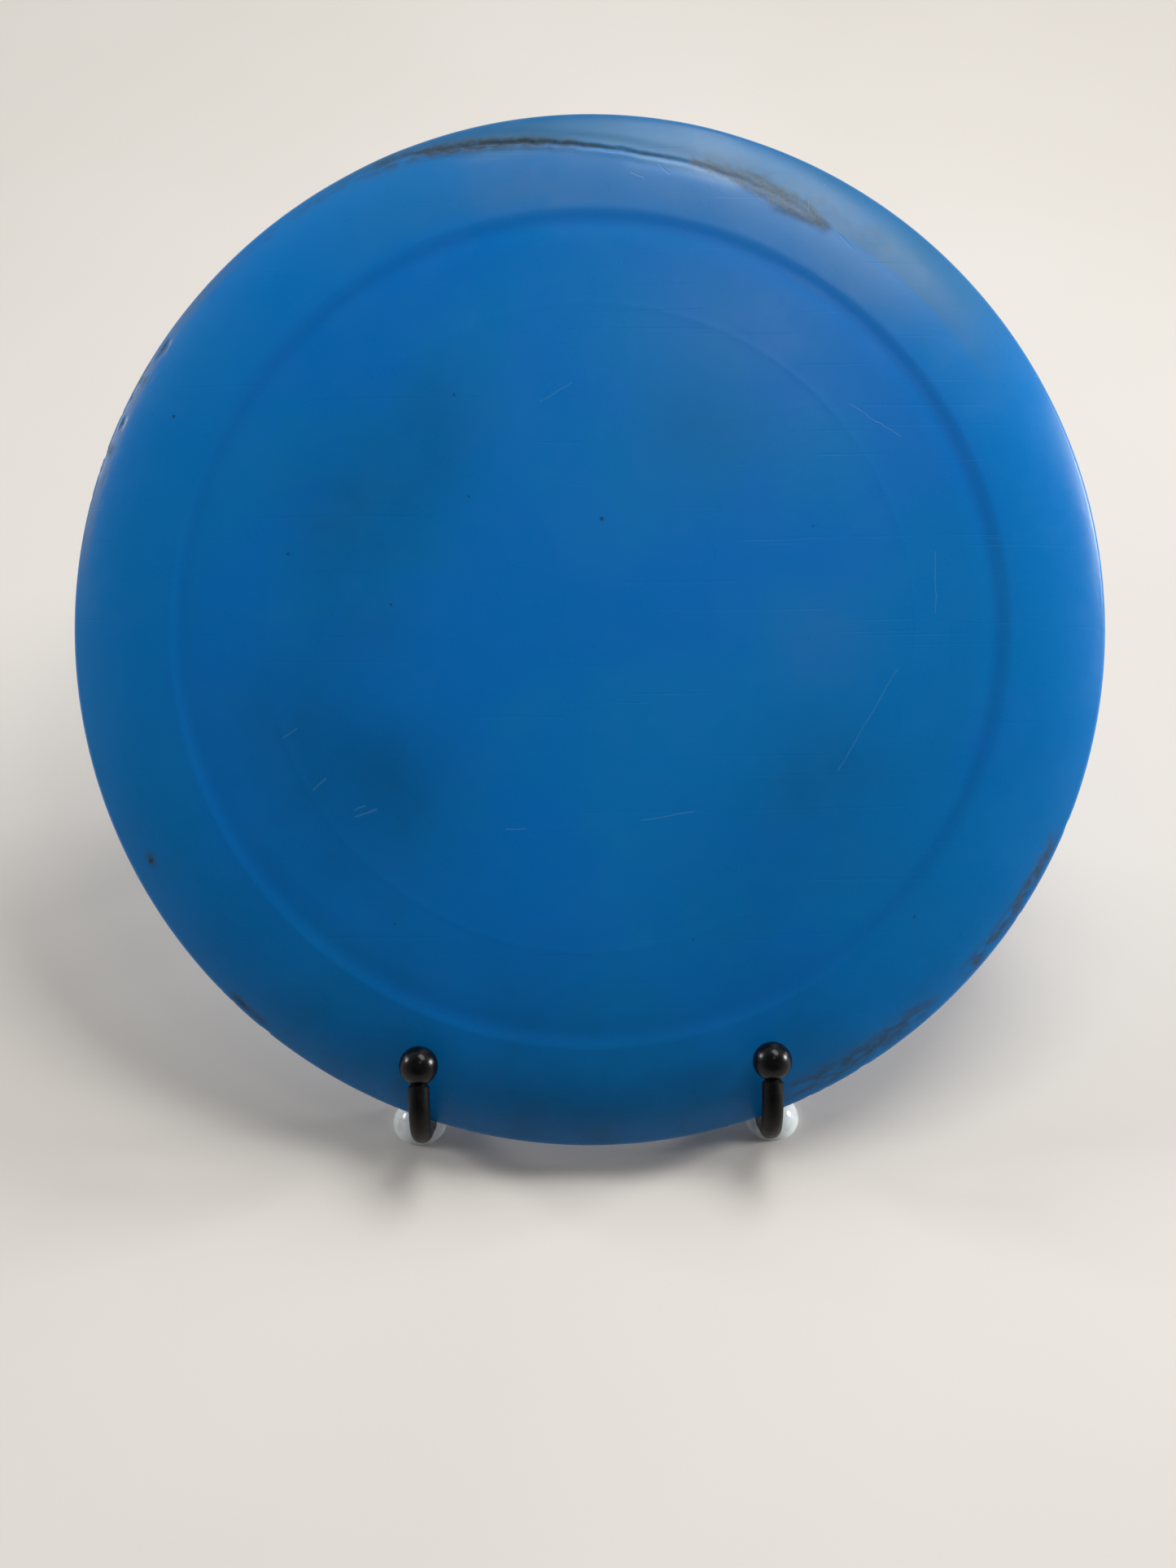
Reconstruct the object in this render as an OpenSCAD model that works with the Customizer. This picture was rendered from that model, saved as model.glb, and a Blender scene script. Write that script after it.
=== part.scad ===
// Golf disc on a folding wire display stand.
// The disc is one moulding. It sits in two ball-tipped hooks and leans back on two
// uprights. A U-shaped rear leg is hinged behind them, on one of the cross bars.
// X is across, +Y points to the back and Z is up. The feet stand on Z = 0.

/* [Disc] */
// Outside diameter
disc_d = 211.5; // [200:0.5:220]
// Diameter inside the rim
rim_inner_d = 173.2; // [165:0.2:180]
// Height from the rim's bottom to the plate's edge, on top
shoulder_h = 13.7; // [12:0.1:15]
// Height of the leading edge above the rim's bottom
nose_h = 7; // [5:0.1:8]
// Radius of the leading edge
nose_r = 1.6; // [1.6:0.1:2.4]
// Width of the flat under the rim
rim_foot_w = 4.2; // [3:0.1:7]
// Thickness of the flight plate
plate_t = 2.1; // [1.6:0.1:3]
// Rise of the dome from the rim to the middle
dome_rise = 2.2; // [0:0.1:4]
// Depth of the groove where the plate meets the rim
groove_depth = 0.2; // [0:0.05:0.5]

/* [Side rods and hooks] */
// Diameter of the two side rods
rod_d = 4.3; // [3:0.1:5]
// Distance between the two side rods
hook_spacing = 70.9; // [50:0.1:90]
// Distance from the disc's leading edge forward to the upturned end
hook_reach = 11; // [9:0.5:16]
// Height of the ball's middle above the arm
hook_rise = 14.6; // [14:0.1:18]
// Bend radius at the front, on the rod's axis
elbow_bend = 8.5; // [7:0.5:9]
// Bend radius over the foot, on the rod's axis
foot_bend = 5; // [4:0.5:7]
// Diameter of the ball tips
ball_d = 7.9; // [6:0.1:9]
// Where the uprights end, above the disc's middle
upright_top = 33; // [20:1:45]

/* [Cross bars] */
// Diameter of the cross bars and the rear leg
bar_d = 3.8; // [3:0.1:4.5]
// Distance of the hinge bar below the disc's middle
hinge_drop = 5; // [0:1:12]
// Distance from the hinge bar up to the stop bar
stop_rise = 12; // [10:0.5:16]
// Distance from the uprights' ends down to the top bar
top_bar_drop = 4; // [3:0.5:10]
// Distance from the hinge bar down to the lower bar
lower_bar_drop = 75.6; // [60:0.2:80]

/* [Rear leg] */
// Angle of the open leg from upright
leg_splay = 22; // [12:1:28]
// Distance between the leg's two rods
leg_w = 52; // [40:1:56]
// Bend radius at the leg's lower corners, on the rod's axis
leg_bend = 5; // [4:0.5:8]
// Reach of the leg's tails above the hinge
tail_reach = 15; // [13:0.5:18]
// Distance between the two rear feet
rear_foot_spacing = 30; // [16:1:34]

/* [Feet] */
// Diameter of the clear feet
foot_d = 11.2; // [9:0.1:13]
// Height of the clear feet
foot_h = 5.2; // [4:0.1:6]
// Thickness of the foot under the rod
foot_floor = 1; // [0.6:0.1:1.5]
// Distance of the front feet's middle outward from their rods
foot_toe_out = 1.6; // [0:0.1:2]

/* [Fit] */
// Angle of the disc from level
recline = 40.3; // [35:0.1:60]
// Space between the disc and the stand
rest_gap = 0.3; // [0.1:0.05:0.5]
// Space around the hinge bar in the leg's eyes
hinge_gap = 0.1; // [0.02:0.01:0.1]

/* [Hidden] */
$fn = 96;

LEFT = -1;
RIGHT = 1;
rod_r = rod_d / 2;
bar_r = bar_d / 2;
ball_r = ball_d / 2;
hook_x = hook_spacing / 2;
spigot_r = 1.4;
spigot_len = 3.4;
shoulder_gap = 0.3;
end_chamfer = 0.45;
bend_swell = 0.02;
joint_lap = 0.2;
spacer_wall = 1.1;
spacer_play = 0.25;
overrun = 1;

// Disc outline, as [radius, height above the rim's bottom].
disc_r = disc_d / 2;
inner_r = rim_inner_d / 2;
groove_w = 5;
wall_round = 1.2;
under_h = shoulder_h - plate_t;
wing_top_pull = [98, 12.5];
wing_low_pull = [98.5, 1.9];

function dome(r, base) = base + dome_rise * (1 - pow(r / inner_r, 2));
function curve(a, b, c, n) = [for (i = [1 : n])
    let (t = i / n) (1 - t) * (1 - t) * a + 2 * t * (1 - t) * b + t * t * c];
function round_arc(centre, r, from, to, n) = [for (i = [0 : n])
    let (a = from + (to - from) * i / n) centre + r * [cos(a), sin(a)]];

nose_up = [disc_r - nose_r, nose_h] + nose_r * [cos(62), sin(62)];
nose_down = [disc_r - nose_r, nose_h] + nose_r * [cos(-50), sin(-50)];
disc_outline = concat(
    [for (i = [0 : 8]) let (r = i * (inner_r - groove_w) / 8) [r, dome(r, shoulder_h)]],
    [[inner_r, shoulder_h - groove_depth]],
    [[inner_r + groove_w / 2, shoulder_h]],
    curve([inner_r + groove_w / 2, shoulder_h], wing_top_pull, nose_up, 9),
    round_arc([disc_r - nose_r, nose_h], nose_r, 55, -45, 8),
    curve(nose_down, wing_low_pull, [inner_r + rim_foot_w, 0], 7),
    [[inner_r + 0.4, 0], [inner_r, 0.4]],
    round_arc([inner_r - wall_round, under_h - wall_round], wall_round, 0, 90, 4),
    [for (i = [7 : -1 : 0]) let (r = i * inner_r / 8) [r, dome(r, under_h)]]);

// Places in the disc's plane: v runs up the disc from its middle, and w runs out of
// its top face from the leading edge.
arm_v = -sqrt(pow(disc_r + rest_gap + rod_r, 2) - pow(hook_x, 2));
rim_foot_v = -sqrt(pow(inner_r, 2) - pow(hook_x, 2));
rim_foot_axis_w = -nose_h - rest_gap - rod_r;
under_w = dome(norm([upright_top + rod_r, hook_x]), under_h) - nose_h;
upright_top_w = under_w - rest_gap - rod_r;
upright_tilt = atan((upright_top_w - rim_foot_axis_w) / (upright_top - rim_foot_v));
bend_v = arm_v + foot_bend;
bend_w = rim_foot_axis_w
    + (foot_bend + (bend_v - rim_foot_v) * sin(upright_tilt)) / cos(upright_tilt);

arm_front_w = hook_reach - elbow_bend;
arm_len = arm_front_w - bend_w;
upright_len = (upright_top - bend_v) / cos(upright_tilt) - foot_bend * tan(upright_tilt);
shank_len = hook_rise - elbow_bend - ball_r - shoulder_gap;

function upright_w(v) = rim_foot_axis_w + (v - rim_foot_v) * tan(upright_tilt);
function along_upright(v, d) = [v + d * cos(upright_tilt),
    upright_w(v) + d * sin(upright_tilt)];

hinge = along_upright(-hinge_drop, 0);
stop = along_upright(-hinge_drop, stop_rise);
lower = along_upright(-hinge_drop, -lower_bar_drop);
top = along_upright(upright_top, -top_bar_drop);

// Places on the floor. The part is centred on its own bounding box.
function level_y(p) = p[0] * cos(recline) - p[1] * sin(recline);
function level_z(p) = p[0] * sin(recline) + p[1] * cos(recline);

front_reach = level_y([arm_v + elbow_bend, hook_reach - elbow_bend]) - elbow_bend - rod_r;
back_reach = max([for (p = disc_outline) level_y([p[0], p[1] - nose_h])]);
disc_y = -(front_reach + back_reach) / 2;
disc_z = foot_floor + rod_r + foot_bend - level_z([bend_v, bend_w]);
front_foot_y = disc_y + level_y([bend_v, bend_w]);
hinge_y = disc_y + level_y(hinge);
hinge_z = disc_z + level_z(hinge);
leg_len = (hinge_z - foot_floor - bar_r) / cos(leg_splay);
rear_foot_y = hinge_y + leg_len * sin(leg_splay);
eye_r = bar_r + hinge_gap + bar_r;
tail_angle = 90 + leg_splay - recline - upright_tilt
    + asin((2 * bar_r + hinge_gap) / stop_rise);

module in_disc_frame() {
    translate([0, disc_y, disc_z]) rotate([recline, 0, 0]) children();
}

module in_leg_frame() {
    translate([0, hinge_y, hinge_z]) rotate([leg_splay, 0, 0]) children();
}

// A rod along X, from one x to another, at a place in the disc's plane.
module rod_across(place, r, from, to) {
    translate([from, place[0], place[1]]) rotate([0, 90, 0]) cylinder(r = r, h = to - from);
}

// A straight length of rod from the origin along +Z. It laps into the bends at its ends,
// and what follows it starts where it stops.
module straight(length, end_lap = joint_lap) {
    translate([0, 0, -joint_lap]) cylinder(r = rod_r, h = joint_lap + length + end_lap);
    translate([0, 0, length]) children();
}

// A bend that leaves the origin along +Z and turns towards +Y. It is a touch thicker than
// the straights. What follows it starts at its end, along the new direction.
module bend(bend_radius, angle) {
    translate([0, bend_radius, 0]) rotate([90, 0, 90]) rotate([0, 0, 180 - angle])
        rotate_extrude(angle = angle) translate([bend_radius, 0])
            circle(r = rod_r + bend_swell);
    translate([0, bend_radius * (1 - cos(angle)), bend_radius * sin(angle)])
        rotate([-angle, 0, 0]) children();
}

module disc() {
    color([0.0, 0.38, 0.68])
    in_disc_frame() translate([0, 0, -nose_h]) rotate_extrude($fn = 180)
        polygon(disc_outline);
}

// The hook's end above its elbow: a straight shank, and a spigot that holds the ball.
module shank() {
    straight(shank_len, 0)
        cylinder(r1 = rod_r, r2 = rod_r - end_chamfer, h = end_chamfer);
    cylinder(r = spigot_r, h = hook_rise - elbow_bend - ball_r + spigot_len);
}

module upright(side) {
    foot = [bend_v, bend_w] + foot_bend * [sin(upright_tilt), -cos(upright_tilt)];
    translate([side * hook_x, foot[0], foot[1]]) rotate([upright_tilt - 90, 0, 0])
        cylinder(r = rod_r, h = upright_len);
}

// One bent rod: the hook, the arm under the disc, the bend in the foot and the upright.
module side_rod(side) {
    in_disc_frame() translate([side * hook_x, arm_v, arm_front_w]) {
        bend(elbow_bend, 90) shank();
        rotate([0, 180, 0]) straight(arm_len) bend(foot_bend, 90 + upright_tilt)
            straight(upright_len, 0) sphere(r = rod_r);
    }
}

module ball_tip(side) {
    color([0.03, 0.03, 0.035])
    in_disc_frame() translate([side * hook_x, arm_v + hook_rise, hook_reach])
        rotate([-90, 0, 0]) difference() {
            sphere(r = ball_r);
            translate([0, 0, -ball_r - overrun])
                cylinder(r = spigot_r, h = spigot_len + overrun);
        }
}

module cross_bar(place) {
    color([0.05, 0.05, 0.055])
    in_disc_frame() difference() {
        rod_across(place, bar_r, -hook_x, hook_x);
        for (side = [LEFT, RIGHT]) upright(side);
    }
}

module hinge_spacer(side) {
    inner_end = leg_w / 2 + bar_r + spacer_play;
    outer_end = hook_x - rod_r;
    color([0.09, 0.09, 0.1])
    in_disc_frame() difference() {
        rod_across(hinge, bar_r + spacer_wall, side > 0 ? inner_end : -outer_end,
            side > 0 ? outer_end : -inner_end);
        rod_across(hinge, bar_r, -hook_x, hook_x);
    }
}

// A clear dome on the floor, with its top on the centre line.
module foot_dome() {
    dome_r = (pow(foot_d / 2, 2) + pow(foot_h, 2)) / (2 * foot_h);
    intersection() {
        translate([0, 0, foot_h - dome_r]) sphere(r = dome_r);
        cylinder(r = foot_d / 2, h = foot_h);
    }
}

module front_foot(side) {
    color([0.85, 0.9, 0.92, 0.5])
    difference() {
        translate([side * (hook_x + foot_toe_out), front_foot_y, 0]) foot_dome();
        side_rod(side);
    }
}

module leg_eye_and_tail(side) {
    translate([side * leg_w / 2, 0, 0]) {
        rotate([0, 90, 0]) rotate_extrude() translate([eye_r, 0]) circle(r = bar_r);
        rotate([-tail_angle, 0, 0]) {
            translate([0, 0, eye_r]) cylinder(r = bar_r, h = tail_reach - eye_r);
            translate([0, 0, tail_reach]) sphere(r = bar_r);
        }
    }
}

module back_leg() {
    corner_x = leg_w / 2 - leg_bend;
    color([0.05, 0.05, 0.055])
    in_leg_frame() {
        for (side = [LEFT, RIGHT]) {
            leg_eye_and_tail(side);
            translate([side * leg_w / 2, 0, leg_bend - leg_len])
                cylinder(r = bar_r, h = leg_len - leg_bend - eye_r);
            translate([side * corner_x, 0, leg_bend - leg_len]) rotate([90, 0, 0])
                rotate([0, 0, side > 0 ? -90 : 180]) rotate_extrude(angle = 90)
                    translate([leg_bend, 0]) circle(r = bar_r);
        }
        rod_across([0, -leg_len], bar_r, -corner_x, corner_x);
    }
}

module rear_foot(side) {
    color([0.85, 0.9, 0.92, 0.5])
    difference() {
        translate([side * rear_foot_spacing / 2, rear_foot_y, 0]) foot_dome();
        in_leg_frame() rod_across([0, -leg_len], bar_r, -leg_w / 2, leg_w / 2);
    }
}

module left_side_rod() { color([0.05, 0.05, 0.055]) side_rod(LEFT); }
module right_side_rod() { color([0.05, 0.05, 0.055]) side_rod(RIGHT); }
module left_ball_tip() { ball_tip(LEFT); }
module right_ball_tip() { ball_tip(RIGHT); }
module lower_cross_bar() { cross_bar(lower); }
module hinge_bar() { cross_bar(hinge); }
module stop_bar() { cross_bar(stop); }
module top_cross_bar() { cross_bar(top); }
module left_hinge_spacer() { hinge_spacer(LEFT); }
module right_hinge_spacer() { hinge_spacer(RIGHT); }
module left_front_foot() { front_foot(LEFT); }
module right_front_foot() { front_foot(RIGHT); }
module left_rear_foot() { rear_foot(LEFT); }
module right_rear_foot() { rear_foot(RIGHT); }

disc();
left_side_rod();
right_side_rod();
left_ball_tip();
right_ball_tip();
lower_cross_bar();
hinge_bar();
stop_bar();
top_cross_bar();
left_hinge_spacer();
right_hinge_spacer();
left_front_foot();
right_front_foot();
back_leg();
left_rear_foot();
right_rear_foot();
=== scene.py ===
"""A golf disc on a folding wire display stand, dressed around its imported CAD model.

Lengths are metres in the row frame, and millimetres where a name ends in _MM or a
docstring says so. The disc's own frame has X across, Y up the disc and Z out of its top.
"""
import math

import bpy
import numpy as np
from mathutils import Matrix, Vector


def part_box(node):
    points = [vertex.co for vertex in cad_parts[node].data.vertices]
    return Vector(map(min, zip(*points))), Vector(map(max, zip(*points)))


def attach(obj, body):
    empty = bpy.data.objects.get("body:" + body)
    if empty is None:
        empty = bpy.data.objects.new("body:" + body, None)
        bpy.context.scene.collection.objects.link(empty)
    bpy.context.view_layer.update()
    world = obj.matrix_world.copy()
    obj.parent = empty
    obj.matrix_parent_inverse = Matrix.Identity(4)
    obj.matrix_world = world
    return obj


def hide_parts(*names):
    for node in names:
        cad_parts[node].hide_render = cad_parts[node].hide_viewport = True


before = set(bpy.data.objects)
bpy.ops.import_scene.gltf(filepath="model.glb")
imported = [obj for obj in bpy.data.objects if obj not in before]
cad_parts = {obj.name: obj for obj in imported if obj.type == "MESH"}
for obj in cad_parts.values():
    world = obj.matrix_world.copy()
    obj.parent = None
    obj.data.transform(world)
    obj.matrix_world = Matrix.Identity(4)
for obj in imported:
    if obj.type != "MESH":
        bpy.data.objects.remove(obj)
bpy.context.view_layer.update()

MM = 0.001

# How the disc leans in the stand, and its own axes in the row frame.
RECLINE = math.radians(40.3)
ACROSS = Vector((1, 0, 0))
UP_DISC = Vector((0, math.cos(RECLINE), math.sin(RECLINE)))
OUT_OF_DISC = Vector((0, -math.sin(RECLINE), math.cos(RECLINE)))
# The middle of the circle that the disc's leading edge makes, where part.scad puts it.
DISC_CENTRE = Vector((0, 0.00136186, 0.0760249))

disc_low, disc_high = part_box("disc")
DISC_R_MM = (disc_high.x - disc_low.x) / 2 / MM

# The disc's outline. Heights are above the bottom of its rim.
INNER_R_MM = 86.6
SHOULDER_R_MM = 85.2
SHOULDER_H_MM = 13.7
SHOULDER_RISE_MM = 0.14
NOSE_H_MM = 7.0
NOSE_R_MM = 1.6
PLATE_T_MM = 2.1
UNDER_H_MM = SHOULDER_H_MM - PLATE_T_MM
DOME_RISE_MM = 2.2
GROOVE_DEPTH_MM = 0.12
GROOVE_R_MM = 82.4
RIM_FOOT_W_MM = 4.2
WALL_ROUND_MM = 1.2
FOOT_ROUND_MM = 0.45
# What the curves of the rim's top and underside are pulled toward, as (radius, height).
WING_TOP_PULL = (98.0, 12.5)
WING_LOW_PULL = (98.5, 1.9)

# The stand's rods, and how far the uprights tilt out of the disc's plane.
SIDE_ROD_D = 4.3 * MM
CROSS_BAR_D = 3.8 * MM
ROD_TILT = math.radians(6.655)
WELD_RADIUS = 0.50 * MM
WELD_RIPPLE = 0.07 * MM

# The camera, in the disc's axes: 465 mm out from it and square to it.
CAMERA_PLACE = Vector((-0.00038, -0.0316, 0.465))
CAMERA_ROLL = math.radians(-0.73)
LENS_MM = 52
FLOOR_HALF = 4.0


# ---------------------------------------------------------------- small helpers
def value_noise(x, y, seed):
    """Smooth noise from 0 to 1 on a grid that repeats."""
    cells = 64
    grid = np.random.default_rng(seed).random((cells, cells))
    xi, yi = np.floor(x).astype(int), np.floor(y).astype(int)
    fx, fy = x - xi, y - yi
    fx, fy = fx * fx * (3 - 2 * fx), fy * fy * (3 - 2 * fy)

    def at(i, j):
        return grid[(xi + i) % cells, (yi + j) % cells]

    low = at(0, 0) * (1 - fx) + at(1, 0) * fx
    high = at(0, 1) * (1 - fx) + at(1, 1) * fx
    return low * (1 - fy) + high * fy


def layered_noise(x, y, seed, layers=3):
    """Sum of noises, each twice as fine and half as strong, from 0 to 1."""
    total, weight = 0.0, 0.0
    for i in range(layers):
        total = total + value_noise(x * 2**i, y * 2**i, seed + i) / 2**i
        weight += 1 / 2**i
    return total / weight


def smooth(low, high, x):
    """0 below low and 1 above high, with a smooth step between them."""
    t = np.clip((x - low) / (high - low), 0, 1)
    return t * t * (3 - 2 * t)


def bump_at(x, centre, width):
    """A bell curve of height 1."""
    return np.exp(-(((x - centre) / width) ** 2))


def angle_gap(angle, centre):
    """Degrees from centre to angle, between -180 and 180."""
    return (angle - centre + 180) % 360 - 180


def between(angle, start, end, fade):
    """1 from start to end degrees, fading to 0 over fade degrees outside them."""
    middle, half = (start + end) / 2, (end - start) / 2
    return 1 - smooth(half, half + fade, np.abs(angle_gap(angle, middle)))


def mesh_object(name, verts, faces):
    mesh = bpy.data.meshes.new(name)
    mesh.from_pydata(verts, [], faces)
    mesh.validate()
    mesh.shade_smooth()
    obj = bpy.data.objects.new(name, mesh)
    bpy.context.scene.collection.objects.link(obj)
    return obj


# ---------------------------------------------------------------- material helpers
class Paint:
    """A material with a Principled shader, and short calls to add nodes to it."""

    def __init__(self, name, **values):
        self.material = bpy.data.materials.new(name)
        self.material.use_nodes = True
        self.nodes = self.material.node_tree.nodes
        self.links = self.material.node_tree.links
        self.shader = self.nodes["Principled BSDF"]
        for socket, value in values.items():
            self.shader.inputs[socket.replace("_", " ")].default_value = value
        self.place = self.add("ShaderNodeTexCoord").outputs["Object"]

    def add(self, kind, **settings):
        node = self.nodes.new(kind)
        for key, value in settings.items():
            setattr(node, key, value)
        return node

    def put(self, socket, value):
        if isinstance(value, bpy.types.NodeSocket):
            self.links.new(value, socket)
        else:
            socket.default_value = value

    def math(self, operation, a, b=0.0, clamp=False):
        node = self.add("ShaderNodeMath", operation=operation, use_clamp=clamp)
        self.put(node.inputs[0], a)
        self.put(node.inputs[1], b)
        return node.outputs[0]

    def remap(self, value, low, high, to_low=0.0, to_high=1.0):
        node = self.add("ShaderNodeMapRange", interpolation_type="SMOOTHSTEP")
        for socket, v in zip(node.inputs, (value, low, high, to_low, to_high)):
            self.put(socket, v)
        return node.outputs[0]

    def scaled(self, vector, x, y, z):
        node = self.add("ShaderNodeMapping", vector_type="POINT")
        self.put(node.inputs["Vector"], vector)
        node.inputs["Scale"].default_value = (x, y, z)
        return node.outputs[0]

    def noise(self, scale, detail=3.0, rough=0.5, vector=None, output="Fac"):
        node = self.add("ShaderNodeTexNoise")
        self.put(node.inputs["Vector"], vector or self.place)
        node.inputs["Scale"].default_value = scale
        node.inputs["Detail"].default_value = detail
        node.inputs["Roughness"].default_value = rough
        return node.outputs[output]

    def mix(self, amount, a, b):
        node = self.add("ShaderNodeMix", data_type="RGBA")
        colour_a, colour_b, result = node.inputs[6], node.inputs[7], node.outputs[2]
        self.put(node.inputs["Factor"], amount)
        self.put(colour_a, a)
        self.put(colour_b, b)
        return result

    def lay(self, colour, mask, strength, over):
        """Another colour laid over this one where the mask is, at a strength."""
        return self.mix(self.math("MULTIPLY", mask, strength), colour, over)

    def stroke(self, flat, start, end, width):
        """1 within about width of the line from start to end, which lie in the XY plane."""
        start, along = Vector(start), Vector(end) - Vector(start)
        offset = self.vector("SUBTRACT", flat, start)
        length_squared = max(along.length_squared, 1e-12)
        reached = self.vector("DOT_PRODUCT", offset, along, "Value")
        t = self.math("DIVIDE", reached, length_squared, clamp=True)
        nearest = self.add("ShaderNodeVectorMath", operation="SCALE")
        nearest.inputs[0].default_value = along
        self.put(nearest.inputs["Scale"], t)
        apart = self.vector("DISTANCE", offset, nearest.outputs["Vector"], "Value")
        return self.remap(apart, 0.35 * width, width, 1.0, 0.0)

    def vector(self, operation, a, b, output="Vector"):
        node = self.add("ShaderNodeVectorMath", operation=operation)
        self.put(node.inputs[0], a)
        self.put(node.inputs[1], b)
        return node.outputs[output]

    def attribute(self, name):
        return self.add("ShaderNodeAttribute", attribute_name=name).outputs["Fac"]

    def bump(self, height, strength, distance, below=None):
        node = self.add("ShaderNodeBump")
        self.put(node.inputs["Height"], height)
        node.inputs["Strength"].default_value = strength
        node.inputs["Distance"].default_value = distance
        if below is not None:
            self.put(node.inputs["Normal"], below)
        return node.outputs[0]

    def done(self, colour=None, roughness=None, normal=None):
        for name, value in (("Base Color", colour), ("Roughness", roughness), ("Normal", normal)):
            if value is not None:
                self.put(self.shader.inputs[name], value)
        return self.material


# ---------------------------------------------------------------- the disc's shape
def bezier(a, b, c, count):
    t = np.linspace(0, 1, count + 1)[1:, None]
    a, b, c = np.array(a), np.array(b), np.array(c)
    return (1 - t) ** 2 * a + 2 * t * (1 - t) * b + t * t * c


def arc(centre, radius, start, end, count):
    a = np.radians(np.linspace(start, end, count))
    return np.stack([centre[0] + radius * np.cos(a), centre[1] + radius * np.sin(a)], axis=1)


def dome(r, base):
    return base + DOME_RISE_MM * (1 - (r / INNER_R_MM) ** 2)


def plate_top(r):
    """The plate's top, with its soft groove at the rim and a faint tooling ring."""
    fall = smooth(SHOULDER_R_MM - 8, SHOULDER_R_MM, r)
    height = dome(r, SHOULDER_H_MM) * (1 - fall) + (SHOULDER_H_MM + SHOULDER_RISE_MM) * fall
    return height - GROOVE_DEPTH_MM * bump_at(r, GROOVE_R_MM, 1.9) + 0.025 * bump_at(r, 65.6, 0.7)


def plate_under(r):
    """The plate's underside, with a gate mark and two tooling rings."""
    gate = -0.35 * bump_at(r, 0, 2.2) + 0.2 * bump_at(r, 6.5, 0.5)
    return dome(r, UNDER_H_MM) + gate + 0.07 * bump_at(r, 30, 0.6) + 0.07 * bump_at(r, 62, 0.6)


# How many of the nose's rows count as the disc's top.
NOSE_TOP_ROWS = 14


def disc_profile():
    """(radius, height above the nose) in mm, from the top's middle round to the underside's.

    Also gives how many of its rows are on the top.
    """
    top_r = np.concatenate([np.linspace(0, 64, 50), np.linspace(65, 68, 11),
                            np.linspace(69, SHOULDER_R_MM, 36)])
    nose = (DISC_R_MM - NOSE_R_MM, NOSE_H_MM)
    nose_arc = arc(nose, NOSE_R_MM, 62, -50, 23)
    shoulder = (SHOULDER_R_MM, plate_top(SHOULDER_R_MM))
    wing_top = bezier(shoulder, WING_TOP_PULL, nose_arc[0], 58)
    foot = INNER_R_MM + RIM_FOOT_W_MM
    wing_low = bezier(nose_arc[-1], WING_LOW_PULL, (foot, 0), 30)
    foot_flat = np.stack([np.linspace(foot - 0.4, INNER_R_MM + 0.5, 6), np.zeros(6)], axis=1)
    foot_round = arc((INNER_R_MM + FOOT_ROUND_MM, FOOT_ROUND_MM), FOOT_ROUND_MM, 270, 180, 5)
    wall = np.stack([np.full(6, INNER_R_MM), np.linspace(1.4, UNDER_H_MM - 1.4, 6)], axis=1)
    corner = (INNER_R_MM - WALL_ROUND_MM, UNDER_H_MM - WALL_ROUND_MM)
    under_round = arc(corner, WALL_ROUND_MM, 0, 84, 7)
    under_r = np.concatenate([np.linspace(84.8, 32, 36), np.linspace(31, 8, 20),
                              np.linspace(7.4, 0, 16)])
    top = np.stack([top_r, plate_top(top_r)], axis=1)
    under = np.stack([under_r, plate_under(under_r)], axis=1)
    parts = [top, wing_top, nose_arc[1:], wing_low, foot_flat, foot_round, wall, under_round, under]
    outline = np.concatenate(parts)
    outline[:, 1] -= NOSE_H_MM
    return outline, len(top) + len(wing_top) + NOSE_TOP_ROWS


# ---------------------------------------------------------------- where the disc is worn
# The crease across the top of the rim, as (degrees round the disc, radius in mm, depth).
CREASE = ((112, 104.0, 0.05), (105, 102.0, 0.30), (98, 100.5, 0.55), (90, 98.4, 0.42),
          (83, 97.1, 0.26), (77, 96.7, 0.15), (69, 96.2, 0.08), (58, 94.5, 0.05))


def crease_radius(angle):
    a, r, _ = np.array(CREASE[::-1]).T
    return np.interp(angle, a, r)


def crease_depth(angle):
    a, _, d = np.array(CREASE[::-1]).T
    return np.interp(angle, a, d) * between(angle, 60, 112, 3)


def scuff_patch(angle, r):
    """1 inside the rough patch where the crease ends, ragged at its edge."""
    middle = np.interp(angle, (58, 61, 65, 70, 76), (94.4, 95.1, 95.7, 96.5, 97.2))
    half = np.interp(angle, (57.8, 61, 65, 70, 77), (0.1, 1.3, 2.2, 1.6, 0.6))
    ragged = 1.3 * (layered_noise(angle * 1.3, r * 0.9, 11) - 0.5)
    inside = 1 - smooth(half - 0.7, half + 0.7, np.abs(r - middle) + ragged)
    return inside * between(angle, 59, 76.5, 1.2)


def edge_nicks(angle, r):
    """Chips along the leading edge, from 0 to 1."""
    where = (0.9 * between(angle, 141, 166, 4) + 0.8 * between(angle, 322, 336, 3)
             + 0.8 * between(angle, 225, 230, 2) + 0.5 * between(angle, 296, 312, 4)
             + 0.04)
    spots = smooth(0.66, 0.86, layered_noise(angle * 0.9, r * 0.7, 23))
    return np.clip(where, 0, 1) * spots * smooth(102.6, 104.4, r)


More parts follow.
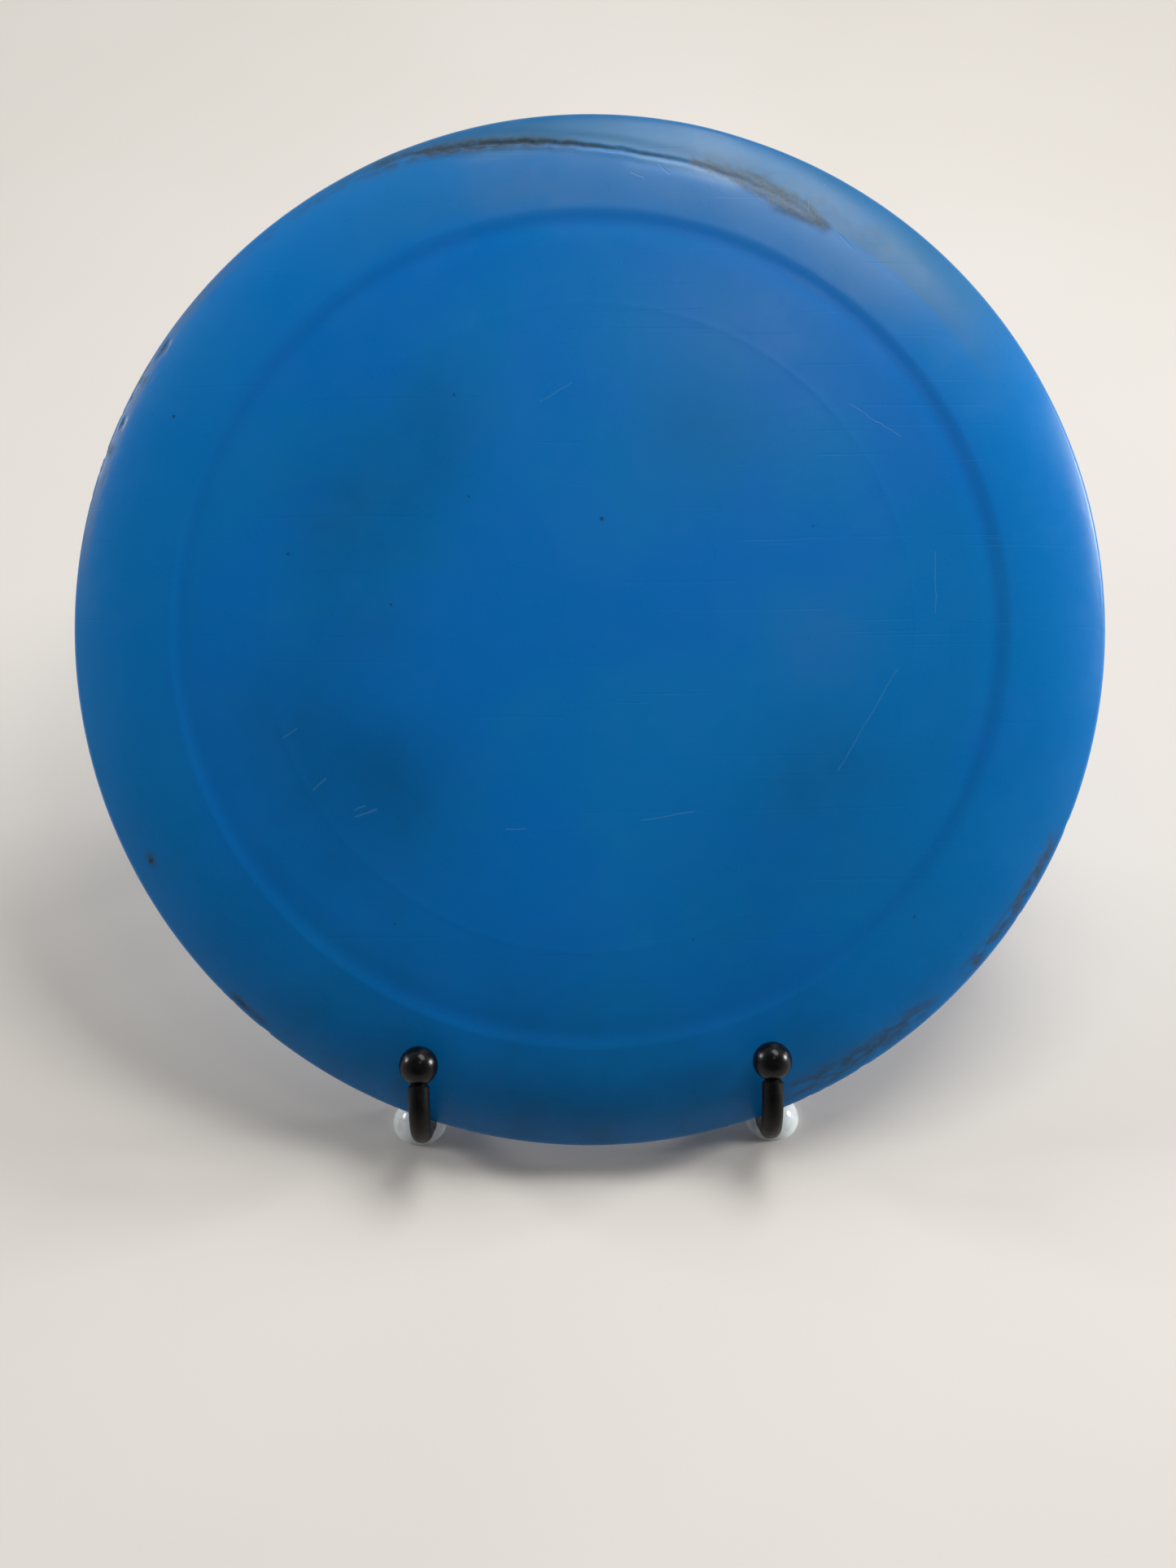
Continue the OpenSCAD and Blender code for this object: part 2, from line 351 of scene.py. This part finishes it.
def wear_displacement(angle, r, top):
    """How far, in mm, the surface is pushed out along its normal."""
    off = r - crease_radius(angle)
    depth = crease_depth(angle)
    wobble = 0.7 * (layered_noise(angle * 0.7, r * 0.2, 3) - 0.5)
    cut = -depth * bump_at(off + wobble, 0, 0.42)
    lip = 0.35 * depth * bump_at(off + wobble, -1.1, 0.7)
    pressed = -0.55 * depth * bump_at(off, 1.6, 1.5)
    facet = -0.10 * between(angle, 72, 83, 3) * bump_at(r, 95.4, 1.3)
    drag = layered_noise(angle * 0.8, off * 2.1, 5, 3)
    rough = scuff_patch(angle, r) * (0.20 * (drag - 0.6))
    nicks = -0.34 * edge_nicks(angle, r)
    swell = 0.12 * between(angle, 78, 110, 8) * smooth(102.5, 105, r)
    wavy = 0.05 * (layered_noise(r * np.cos(np.radians(angle)) / 26 + 9,
                                 r * np.sin(np.radians(angle)) / 26 + 9, 31, 2) - 0.5)
    return np.where(top, cut + lip + pressed + facet + rough + nicks + swell + wavy, 0)


def dirt_mask(angle, r):
    """Brown dirt, from 0 to 1: ground into the crease, and wiped along the leading edge."""
    off = r - crease_radius(angle)
    depth = crease_depth(angle)
    streak = layered_noise(angle * 0.8, r * 1.7, 51)
    thick = 0.30 + 1.05 * between(angle, 94, 106, 7)
    line = bump_at(off, 0.15, thick) * smooth(0.06, 0.26, depth) * (0.85 + 0.3 * streak)
    trail = 0.6 * between(angle, 99, 112, 6) * bump_at(off, -0.3, 1.7) * smooth(0.05, 0.65, streak)
    haze = 0.30 * between(angle, 112, 130, 6) * bump_at(r, 103.8, 1.2) * smooth(0.3, 0.7, streak)
    under_patch = np.interp(angle, (58, 66), (94.2, 93.0))
    patch = 0.6 * between(angle, 59, 65, 1.5) * bump_at(r, under_patch, 0.8)
    low = 0.85 * between(angle, 294, 309, 5) * bump_at(r, 102.9, 2.0) * smooth(0.25, 0.66, streak)
    right = 0.9 * between(angle, 319, 333, 4) * bump_at(r, 103.9, 1.3) * smooth(0.20, 0.55, streak)
    chip = 0.7 * between(angle, 225.5, 229, 1.5) * bump_at(r, 104.4, 0.7)
    left = 0.6 * between(angle, 146, 162, 4) * bump_at(r, 104.8, 0.9) * smooth(0.5, 0.7, streak)
    spot = 0.8 * bump_at(angle_gap(angle, 207), 0, 0.8) * bump_at(r, 101, 0.9)
    return np.clip(line + trail + haze + patch + low + right + chip + left + spot, 0, 1)


def scuff_and_highlight_mask(angle, r):
    """Pale, rubbed plastic, and painted highlights on the rim, from 0 to 1."""
    fleck = layered_noise(angle * 1.6, r * 1.4, 61)
    patch = scuff_patch(angle, r)
    # Painted highlight: a pale sheen on the rim just outside the rough patch.
    rim_highlight = 0.34 * between(angle, 54, 74, 8) * bump_at(r, 98.4, 2.4) * smooth(0.25, 0.7, fleck)
    edge = 0.4 * edge_nicks(angle, r)
    # Painted highlight: the pale streak along the left rim, laid over real nicks and rubbing.
    edge = edge + 0.45 * between(angle, 138, 168, 8) * smooth(102.8, 104.4, r) * (0.4 + fleck)
    return np.clip(patch + rim_highlight + edge, 0, 1)


def facet_highlight_mask(angle, r):
    """A painted highlight on the facet along the inside of the crease, from 0 to 1."""
    low_edge = np.interp(angle, (69, 74, 83, 99), (93.9, 94.1, 95.5, 97.2))
    high_edge = crease_radius(angle) - 0.2
    above = smooth(low_edge - 0.6, low_edge + 0.8, r)
    below = 1 - smooth(high_edge - 0.3, high_edge + 0.3, r)
    return above * below * (0.8 * between(angle, 72, 82, 3) + 0.25 * between(angle, 85, 101, 5))


def flame_mask(angle, r):
    """The dark smudge under the patch, with two ragged tips."""
    tips = 88.6 + 1.6 * bump_at(angle, 60.6, 0.7) + 1.9 * bump_at(angle, 57.4, 0.8)
    ragged = 1.3 * (layered_noise(angle * 1.2, r * 0.5, 71) - 0.5)
    inside = 1 - smooth(tips - 0.9, tips + 0.4, r + ragged)
    return between(angle, 56.4, 61.8, 1.6) * smooth(81.5, 85.5, r) * inside


def haze_mask(angle, r):
    """The dull grey film over the top of the rim, from 0 to 1."""
    film = layered_noise(angle * 0.25, r * 0.22, 91)
    outside = smooth(-0.6, 1.0, r - crease_radius(angle))
    along = between(angle, 48, 108, 24)
    return along * smooth(84.0, 90, r) * (0.30 + 0.60 * outside) * (0.80 + 0.35 * film)


def bleach_and_reflection_mask(angle, r):
    """The paler, rubbed blue between the groove and the crease, and a painted reflection on the
    plate, from 0 to 1.
    """
    film = layered_noise(angle * 0.3, r * 0.3, 93)
    inside = 1 - smooth(-1.2, 0.2, r - crease_radius(angle))
    band = between(angle, 52, 97, 13) * smooth(83.6, 86.6, r) * inside * (0.55 + 0.6 * film)
    # Painted reflection: a pale patch on the plate where a lamp's reflection shows.
    plate_reflection = 0.42 * bump_at(angle_gap(angle, 63), 0, 14) * bump_at(r, 68, 12)
    thumb = 0.30 * bump_at(angle_gap(angle, 356), 0, 11) * bump_at(r, 46, 8) * (0.4 + film)
    return band + plate_reflection + thumb


# Cloudy darker areas of the plastic, and painted shade toward the disc's bottom, as (degrees,
# radius in mm, width in degrees, width in mm, strength).
CLOUDS_AND_SHADE = ((217, 53, 20, 16, 0.78), (150, 52, 20, 16, 0.58), (126, 52, 14, 12, 0.34),
          (318, 55, 26, 14, 0.46), (58, 46, 18, 12, 0.32), (200, 66, 18, 12, 0.34),
          # The entries at 265 and 270 degrees are painted shade: the disc's bottom darker, as where
          # less light reaches it.
          (265, 80, 60, 16, 0.45), (270, 103, 60, 12, 0.8), (180, 46, 12, 12, 0.25),
          (82, 106, 42, 2.4, 0.9))


def cloud_and_shade_mask(angle, r):
    # Real cloudy mottling of the plastic, plus painted shade darkening the bottom of the disc.
    x, y = r * np.cos(np.radians(angle)), r * np.sin(np.radians(angle))
    total = 0
    for centre, middle, wide, deep, strength in CLOUDS_AND_SHADE:
        near = bump_at(angle_gap(angle, centre), 0, wide) * bump_at(r, middle, deep)
        total = total + strength * near
    mottle = 0.45 + 1.1 * layered_noise(x / 14 + 20, y / 14 + 20, 81, 4)
    return np.clip(total * mottle, 0, 1)


def make_disc():
    outline, top_rows = disc_profile()
    fine = np.arange(52, 122, 0.25)
    coarse = np.arange(122, 412, 0.5)
    angles = np.concatenate([fine, coarse])
    columns, rows = len(angles), len(outline)

    step = np.gradient(outline, axis=0)
    normal = np.stack([-step[:, 1], step[:, 0]], axis=1)
    normal /= np.linalg.norm(normal, axis=1)[:, None]

    angle, r = np.meshgrid(angles % 360, outline[:, 0])
    top = (np.arange(rows) < top_rows)[:, None] & (r > 0)
    push = wear_displacement(angle, r, top)
    radius = r + push * normal[:, 0][:, None]
    height = outline[:, 1][:, None] + push * normal[:, 1][:, None]
    turn = np.radians(angle)
    points = np.stack([radius * np.cos(turn), radius * np.sin(turn), height], axis=-1) * MM

    verts = [tuple(points[0, 0])]
    verts += [tuple(p) for p in points[1:-1].reshape(-1, 3)]
    verts.append(tuple(points[-1, 0]))
    faces = []
    for k in range(columns):
        after = (k + 1) % columns
        faces.append((0, 1 + k, 1 + after))
        for row in range(rows - 3):
            a, b = 1 + row * columns, 1 + (row + 1) * columns
            faces.append((a + k, b + k, b + after, a + after))
        last = 1 + (rows - 3) * columns
        faces.append((last + k, len(verts) - 1, last + after))
    to_row = in_disc_frame(Vector((0, 0, 0)))
    obj = mesh_object("disc_moulding", [to_row @ Vector(v) for v in verts], faces)

    masks = {
        "dirt": dirt_mask(angle, r) * top,
        # Rubbed plastic together with painted highlights on the rim.
        "scuff_and_highlight": scuff_and_highlight_mask(angle, r) * top,
        # Painted highlight on the facet inside the crease.
        "facet": facet_highlight_mask(angle, r) * top,
        "flame": flame_mask(angle, r) * top,
        # This mask also carries painted shade at the disc's bottom.
        "cloud_and_shade": cloud_and_shade_mask(angle, r) * top,
        "top_face": np.where(top, 1.0, 0.0),
        "haze": np.clip(haze_mask(angle, r), 0, 1) * top,
        # Paler rubbed band, plus a painted reflection on the plate.
        "bleach_and_reflection": np.clip(bleach_and_reflection_mask(angle, r), 0, 1) * top,
        "rim": smooth(83, 89, r) * top,
        # Painted shade: a darker ring along the shallow groove at the plate's edge.
        "groove": bump_at(r, 83.0, 1.4) * top,
    }
    for name, mask in masks.items():
        values = np.concatenate([mask[0, :1], mask[1:-1].ravel(), mask[-1, :1]])
        layer = obj.data.attributes.new(name, "FLOAT", "POINT")
        layer.data.foreach_set("value", values.astype(np.float32))

    obj.data.materials.append(disc_plastic())
    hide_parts("disc")
    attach(obj, "golf_disc")
    return obj


def in_disc_frame(place):
    """The disc's own axes, moved to a place given in them."""
    turn = Matrix((ACROSS, UP_DISC, OUT_OF_DISC)).transposed()
    return Matrix.Translation(DISC_CENTRE + turn @ place) @ turn.to_4x4()


# Short scratches and dark specks on the top, as two points (degrees, radius) and a width in mm.
SCRATCHES = (((219.6, 56.0), (218.2, 60.2), 0.30), ((217.5, 57.5), (217.0, 59.5), 0.22),
             ((208.8, 60.8), (209.6, 64.0), 0.24), ((198.0, 62.0), (198.8, 65.2), 0.22),
             ((61.5, 96.6), (62.4, 99.8), 0.28), ((79.0, 94.2), (80.6, 95.8), 0.22),
             ((54.6, 94.4), (57.0, 95.2), 0.24), ((82.2, 92.6), (83.8, 93.4), 0.22),
             ((252.0, 42.0), (247.0, 43.5), 0.18), ((285.0, 40.0), (300.0, 42.5), 0.16),
             ((330.0, 58.0), (352.0, 63.0), 0.14), ((40.0, 70.0), (31.0, 74.5), 0.14),
             ((12.0, 72.0), (2.0, 70.5), 0.16), ((101.0, 47.0), (93.0, 50.0), 0.16))
SPECKS = (((152, 94.5), 0.5), ((165, 62.5), 0.4), ((172, 40), 0.38), ((131, 36), 0.32),
          ((119, 54.5), 0.4), ((82, 22.5), 0.55), ((207, 100.5), 0.7), ((236, 71), 0.3),
          ((318, 88), 0.35), ((24, 50), 0.28), ((288, 66), 0.3))


def on_plate(polar):
    """A point in the disc's plane, in metres, from (degrees, radius in mm)."""
    angle, r = math.radians(polar[0]), polar[1] * MM
    return (r * math.cos(angle), r * math.sin(angle), 0)


def any_of(paint, masks):
    """The largest of several masks at each point."""
    total = masks[0]
    for mask in masks[1:]:
        total = paint.math("MAXIMUM", total, mask)
    return total


def disc_plastic():
    """Blue disc plastic with cloudy areas, scuffs, ground-in dirt and fine scratches, with painted
    shade, painted highlights and a painted reflection in its colour.
    """
    p = Paint("disc_plastic", Specular_IOR_Level=0.24)
    own_axes = p.add("ShaderNodeMapping", vector_type="TEXTURE")
    p.put(own_axes.inputs["Vector"], p.place)
    own_axes.inputs["Location"].default_value = DISC_CENTRE
    own_axes.inputs["Rotation"].default_value = (RECLINE, 0, 0)
    p.place = own_axes.outputs[0]

    lines, specks = scratches_and_specks(p)
    colour = blue_body(p)
    colour = wear_and_highlight_colour(p, colour)
    colour = p.lay(colour, lines, 0.26, PALE_SCRATCH)
    colour = p.lay(colour, specks, 0.75, DARK_SPECK)
    return p.done(colour, disc_roughness(p), disc_relief(p, lines))


# The disc's colours, in linear light.
DEEP_BLUE = (0.0, 0.140, 0.470, 1)
TEAL_BLUE = (0.0, 0.154, 0.448, 1)
RIM_BLUE = (0.0, 0.165, 0.475, 1)
# Painted shade colour for the groove at the plate's edge.
GROOVE_SHADE_BLUE = (0.0, 0.105, 0.385, 1)
# Used for the cloudy plastic and for the painted shade at the disc's bottom.
CLOUD_AND_SHADE_BLUE = (0.0, 0.090, 0.250, 1)
GREY_FILM = (0.036, 0.135, 0.255, 1)
# Pale colour for the rubbed band and for the painted reflection on the plate.
BLEACHED_AND_REFLECTION = (0.054, 0.165, 0.365, 1)
SMUDGE = (0.012, 0.095, 0.17, 1)
# Painted highlight colour for the crease's inner facet.
FACET_HIGHLIGHT = (0.13, 0.26, 0.42, 1)
# Pale colour for rubbed plastic and for painted highlights on the rim.
RUBBED_AND_HIGHLIGHT = (0.105, 0.132, 0.152, 1)
BROWN_SPECK = (0.085, 0.080, 0.072, 1)
SOIL = (0.030, 0.042, 0.046, 1)
PALE_SCRATCH = (0.10, 0.24, 0.42, 1)
DARK_SPECK = (0.010, 0.030, 0.050, 1)


def blue_body(p):
    """The plastic's own blue, with its film, a bleached band with a painted reflection, clouds with
    painted shade at the bottom, and painted shade in the groove.
    """
    colour = p.mix(p.remap(p.noise(22, 3, 0.55), 0.42, 0.62), DEEP_BLUE, TEAL_BLUE)
    colour = p.lay(colour, p.attribute("rim"), 0.6, RIM_BLUE)
    # Painted shade in the groove at the plate's edge.
    colour = p.lay(colour, p.attribute("groove"), 0.35, GROOVE_SHADE_BLUE)
    colour = p.lay(colour, p.attribute("haze"), 0.9, GREY_FILM)
    # Paler rubbed band, and a painted reflection on the plate.
    colour = p.lay(colour, p.attribute("bleach_and_reflection"), 0.62, BLEACHED_AND_REFLECTION)
    mottle = p.remap(p.noise(90, 4, 0.6), 0.3, 0.7, 0.75, 1.0)
    # Darker clouds, and painted shade toward the bottom of the disc.
    colour = p.lay(colour, p.attribute("cloud_and_shade"), mottle, CLOUD_AND_SHADE_BLUE)
    return p.lay(colour, p.attribute("flame"), 0.55, SMUDGE)


def wear_and_highlight_colour(p, colour):
    """A painted highlight on the crease's inner facet, then rubbed plastic with painted highlights,
    specks and dirt.
    """
    fine = p.noise(2300, 2, 0.6)
    grain = p.noise(700, 4, 0.65)
    scuff_and_highlight = p.attribute("scuff_and_highlight")
    # Painted highlight on the facet inside the crease.
    colour = p.lay(colour, p.attribute("facet"), 0.7, FACET_HIGHLIGHT)
    pale = p.math("MULTIPLY", scuff_and_highlight, p.remap(grain, 0.32, 0.60, 0.6, 1.0))
    # Rubbed plastic and painted highlights on the rim.
    colour = p.lay(colour, pale, 0.80, RUBBED_AND_HIGHLIGHT)
    speck = p.math("MULTIPLY", scuff_and_highlight, p.remap(fine, 0.50, 0.60))
    colour = p.lay(colour, speck, 0.5, BROWN_SPECK)
    soil = p.math("MULTIPLY", p.attribute("dirt"), p.remap(grain, 0.30, 0.58, 0.6, 1.0))
    return p.lay(colour, soil, 0.93, SOIL)


def scratches_and_specks(p):
    """Masks of the short scratches and the dark specks, on the disc's top only."""
    wander = p.scaled(p.noise(260, 2, 0.5, output="Color"), 0.0009, 0.0009, 0.0)
    flat = p.scaled(p.vector("ADD", p.place, wander), 1, 1, 0)
    lines = any_of(p, [p.stroke(flat, on_plate(a), on_plate(b), w * MM) for a, b, w in SCRATCHES])
    specks = any_of(p, [p.stroke(flat, on_plate(a), on_plate(a), w * MM) for a, w in SPECKS])
    top = p.attribute("top_face")
    return p.math("MULTIPLY", lines, top), p.math("MULTIPLY", specks, top)


def disc_roughness(p):
    rough = p.remap(p.noise(60, 4, 0.6), 0.35, 0.68, 0.26, 0.36)
    rough = p.math("ADD", rough, p.math("MULTIPLY", p.attribute("scuff_and_highlight"), 0.18))
    return p.math("ADD", rough, p.math("MULTIPLY", p.attribute("dirt"), 0.3), clamp=True)


# Three sets of hair scratches, as (turn in radians, scale).
HAIRS = ((0.5, 1.0), (2.2, 1.3), (1.25, 0.8))


def disc_relief(p, lines):
    """Moulded peel, the short scratches, and hair scratches in three directions."""
    normal = p.bump(p.noise(700, 3, 0.5), 0.10, 0.1 * MM)
    normal = p.bump(lines, 0.25, -0.1 * MM, below=normal)
    for turn, scale in HAIRS:
        spun = p.add("ShaderNodeMapping", vector_type="POINT")
        p.put(spun.inputs["Vector"], p.place)
        spun.inputs["Rotation"].default_value = (0, 0, turn)
        spun.inputs["Scale"].default_value = (14 * scale, 900 * scale, 60)
        hair = p.remap(p.noise(1.0, 1, 0.4, vector=spun.outputs[0]), 0.735, 0.765)
        normal = p.bump(hair, 0.12, -0.1 * MM, below=normal)
    return normal


# ---------------------------------------------------------------- the stand's finishes
def black_coating():
    """Satin black powder coat with fine orange peel and a little pale dust."""
    p = Paint("black_coating", Specular_IOR_Level=0.13)
    spots = p.noise(900, 3, 0.6)
    dust = p.remap(p.noise(230, 5, 0.7), 0.62, 0.80, 0.0, 0.06)
    near_black, dark_grey = (0.0012, 0.0013, 0.0015, 1), (0.0034, 0.0036, 0.0040, 1)
    colour = p.mix(p.remap(spots, 0.35, 0.7), near_black, dark_grey)
    colour = p.mix(dust, colour, (0.07, 0.07, 0.068, 1))
    rough = p.remap(p.noise(500, 3, 0.6), 0.3, 0.7, 0.34, 0.46)
    normal = p.bump(p.noise(1400, 2, 0.5), 0.22, 0.0001)
    return p.done(colour, rough, normal)


def black_ball():
    """Smoother moulded black, with faint handling marks."""
    p = Paint("black_ball", Specular_IOR_Level=0.21)
    colour = p.mix(p.remap(p.noise(500, 4, 0.6), 0.45, 0.7), (0.0012, 0.0013, 0.0016, 1),
                   (0.0032, 0.0034, 0.0038, 1))
    rough = p.remap(p.noise(260, 4, 0.65), 0.35, 0.7, 0.20, 0.27)
    normal = p.bump(p.noise(1800, 2, 0.5), 0.10, 0.0001)
    return p.done(colour, rough, normal)


def spacer_black():
    p = Paint("spacer_black", Specular_IOR_Level=0.35)
    colour = p.mix(p.noise(600, 3, 0.6), (0.014, 0.014, 0.015, 1), (0.028, 0.028, 0.03, 1))
    rough = p.remap(p.noise(300, 3, 0.6), 0.3, 0.7, 0.5, 0.66)
    return p.done(colour, rough, p.bump(p.noise(1100, 3, 0.6), 0.3, 0.0001))


def clear_rubber():
    """Clear soft rubber, slightly milky, with dust stuck to it."""
    p = Paint("clear_rubber", IOR=1.41, Transmission_Weight=0.25)
    colour = p.mix(p.remap(p.noise(350, 4, 0.6), 0.5, 0.75), (0.80, 0.86, 0.87, 1),
                   (0.62, 0.65, 0.65, 1))
    rough = p.remap(p.noise(260, 4, 0.6), 0.35, 0.7, 0.10, 0.24)
    return p.done(colour, rough, p.bump(p.noise(500, 2, 0.5), 0.15, 0.0002))


def make_weld_beads():
    """A small rippled weld where each plain cross bar meets a side rod."""
    rod_r = SIDE_ROD_D / 2
    rod_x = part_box("right_side_rod")[1].x - rod_r
    for bar in ("lower_cross_bar", "stop_bar", "top_cross_bar"):
        low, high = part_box(bar)
        for side, word in ((-1, "left"), (1, "right")):
            weld_bead(f"{bar}_{word}_weld", (low + high) / 2, side, rod_x, rod_r)


def weld_bead(name, middle, side, rod_x, rod_r):
    """A thin ring round the end of a bar, saddled on the side rod."""
    along_rod = math.cos(ROD_TILT) * UP_DISC + math.sin(ROD_TILT) * OUT_OF_DISC
    off_rod = math.cos(ROD_TILT) * OUT_OF_DISC - math.sin(ROD_TILT) * UP_DISC
    around, across, bar_r = 72, 10, CROSS_BAR_D / 2
    verts = []
    for i in range(around):
        a = math.tau * i / around
        reach = bar_r + 0.05 * MM
        off = reach * math.sin(a)
        x = side * (rod_x - math.sqrt(rod_r**2 - off**2))
        spine = Vector((x, middle.y, middle.z)) + reach * math.cos(a) * along_rod + off * off_rod
        outward = math.cos(a) * along_rod + math.sin(a) * off_rod
        thick = WELD_RADIUS + WELD_RIPPLE * math.sin(11 * a + side)
        for j in range(across):
            b = math.tau * j / across
            verts.append(spine + thick * (math.cos(b) * outward - side * math.sin(b) * ACROSS))
    faces = [(i * across + j, i * across + (j + 1) % across,
              (i + 1) % around * across + (j + 1) % across, (i + 1) % around * across + j)
             for i in range(around) for j in range(across)]
    obj = mesh_object(name, verts, faces)
    obj.data.materials.append(bpy.data.materials["black_coating"])
    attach(obj, "stand_frame")


def finish_nodes():
    """Gives each CAD node that stays the finish its record names."""
    finishes = (
        (black_coating(), ("side_rod", "bar", "back_leg")),
        (black_ball(), ("ball_tip",)),
        (spacer_black(), ("spacer",)),
        (clear_rubber(), ("foot",)),
    )
    for name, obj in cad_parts.items():
        for material, words in finishes:
            if any(word in name for word in words):
                obj.data.materials.clear()
                obj.data.materials.append(material)


# ---------------------------------------------------------------- the setting
def make_floor():
    corners = [(x * FLOOR_HALF, y * FLOOR_HALF, 0) for x, y in ((-1, -1), (1, -1), (1, 1), (-1, 1))]
    floor = mesh_object("floor", corners, [(0, 1, 2, 3)])
    p = Paint("pale_floor", Specular_IOR_Level=0.3)
    colour = p.mix(p.remap(p.noise(5, 3, 0.5), 0.35, 0.65), (0.640, 0.605, 0.560, 1),
                   (0.665, 0.632, 0.588, 1))
    floor.data.materials.append(p.done(colour, 0.62, p.bump(p.noise(900, 2, 0.5), 0.05, 0.0002)))


def area_light(name, place, aim, size, power):
    light = bpy.data.lights.new(name, "AREA")
    light.shape = "RECTANGLE"
    light.size, light.size_y = size
    light.energy = power
    obj = bpy.data.objects.new(name, light)
    obj.location = place
    obj.rotation_euler = (Vector(aim) - Vector(place)).to_track_quat("-Z", "Y").to_euler()
    obj.visible_camera = False
    bpy.context.scene.collection.objects.link(obj)


def window_light(name, direction, strength, width):
    """A soft window so far off that it lights the whole floor evenly, seen width degrees wide."""
    light = bpy.data.lights.new(name, "SUN")
    light.energy = strength
    light.angle = math.radians(width)
    obj = bpy.data.objects.new(name, light)
    obj.rotation_euler = Vector(direction).to_track_quat("Z", "Y").to_euler()
    bpy.context.scene.collection.objects.link(obj)


def make_light():
    """A lamp above the disc, a small one behind the camera and a soft window to each side."""
    area_light("lamp_above", (0.19, 0.16, 0.64), DISC_CENTRE, size=(0.40, 0.25), power=2.6)
    area_light("lamp_front", (0.13, -0.24, 0.76), DISC_CENTRE, size=(0.09, 0.09), power=0.17)
    window_light("window_left", (-0.89, 0.28, 0.37), strength=1.35, width=16)
    window_light("window_right", (0.95, 0.16, 0.25), strength=3.3, width=17)


def make_room():
    """A pale room, dimmer toward the side that the disc's top faces."""
    behind, ahead, bright, dim = 0.00, 0.90, 0.69, 0.11
    world = bpy.data.worlds.new("room")
    bpy.context.scene.world = world
    world.use_nodes = True
    nodes, links = world.node_tree.nodes, world.node_tree.links
    back = nodes["Background"]
    coord = nodes.new("ShaderNodeTexCoord")
    facing = nodes.new("ShaderNodeVectorMath")
    facing.operation = "DOT_PRODUCT"
    facing.inputs[1].default_value = OUT_OF_DISC
    spread = nodes.new("ShaderNodeMapRange")
    spread.interpolation_type = "SMOOTHSTEP"
    for socket, value in zip(spread.inputs[1:], (behind, ahead, bright, dim)):
        socket.default_value = value
    links.new(coord.outputs["Generated"], facing.inputs[0])
    links.new(facing.outputs["Value"], spread.inputs[0])
    links.new(spread.outputs[0], back.inputs["Strength"])
    back.inputs["Color"].default_value = (1.0, 0.985, 0.965, 1)


def make_camera():
    """The photograph's view: square to the disc, a little below its middle."""
    camera = bpy.data.cameras.new("camera")
    camera.lens = LENS_MM
    camera.sensor_width = 36
    obj = bpy.data.objects.new("camera", camera)
    roll = Matrix.Rotation(CAMERA_ROLL, 4, "Z")
    obj.matrix_world = in_disc_frame(Vector((0, 0, 0))) @ roll @ Matrix.Translation(CAMERA_PLACE)
    bpy.context.scene.collection.objects.link(obj)
    bpy.context.scene.camera = obj
    bpy.context.scene.view_settings.view_transform = "Standard"


make_camera()
make_disc()
finish_nodes()
make_weld_beads()
make_floor()
make_light()
make_room()
